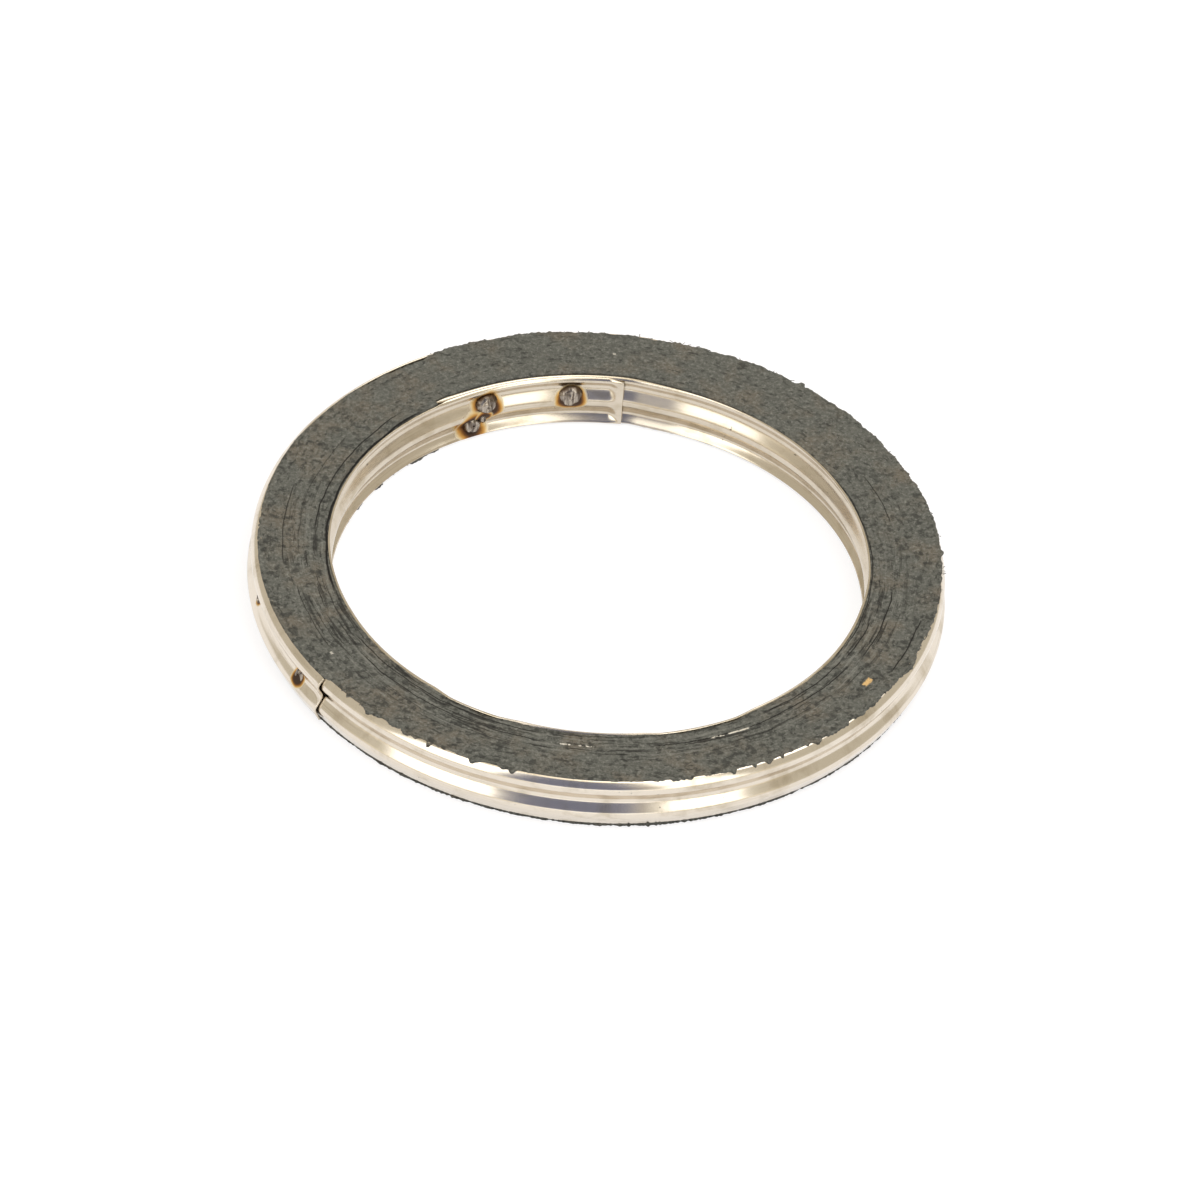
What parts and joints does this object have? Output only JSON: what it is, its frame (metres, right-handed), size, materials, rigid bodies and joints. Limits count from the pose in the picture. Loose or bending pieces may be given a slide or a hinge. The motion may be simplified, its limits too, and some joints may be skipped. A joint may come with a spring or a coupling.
{
  "type": "spiral wound gasket",
  "caption": "Flat ring gasket of thin W-shaped steel strip and soft graphite filler wound together, with bare spot-welded ends at the bore and outside.",
  "frame": {"origin": "centre of the ring on the face that it rests on", "axes": "+Z along the ring's axis, upwards"},
  "size_m": [0.0629, 0.0629, 0.0052],
  "materials": {
    "stainless_strip": "rolled, satin",
    "graphite_filler": "matt, fibrous"
  },
  "bodies": {
    "root": {"hoop_strip": "stainless_strip", "filler_strip": "graphite_filler"}
  },
  "joints": []
}
